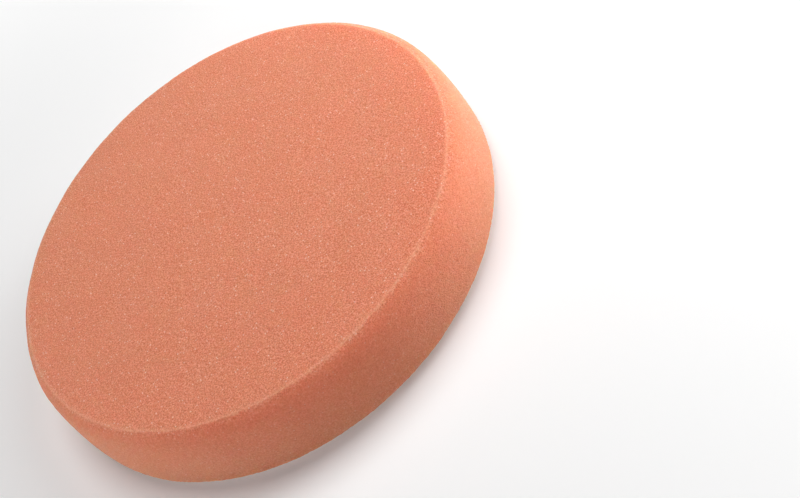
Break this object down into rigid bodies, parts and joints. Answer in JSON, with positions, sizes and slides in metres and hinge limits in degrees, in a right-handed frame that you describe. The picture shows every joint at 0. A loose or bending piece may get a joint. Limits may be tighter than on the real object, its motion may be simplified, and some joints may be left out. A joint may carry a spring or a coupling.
{
  "type": "foam polishing pad",
  "caption": "Round open-cell foam polishing pad with rounded shoulder and a loop-fabric back that grips a polisher's hook-faced plate.",
  "frame": {"origin": "centre of the loop face, the underside that grips the polisher's backing plate", "axes": "+Z along the pad's axis, from the loop face to the working face; X and Y lie in the loop face and are arbitrary, because the pad is round"},
  "size_m": [0.155, 0.155, 0.025],
  "materials": {
    "foam": "salmon-orange open-cell polyurethane foam, matt, fine pores with pale sparkling strands",
    "film": "milky hot-melt polyurethane film, satin",
    "knit": "off-white warp-knitted polyester ground cloth",
    "loops": "off-white brushed polyester loop pile"
  },
  "bodies": {
    "backing": {"loop_pile": "loops", "backing_knit": "knit", "adhesive_film": "film"},
    "foam": {"foam_disc": "foam"}
  },
  "joints": [
    {"name": "foam_press", "type": "slide", "parent": "backing", "child": "foam", "axis": [0, 0, -1], "range_m": [0, 0.008], "stiffness_N_per_m": 11000, "deforming": ["foam_disc"]}
  ]
}
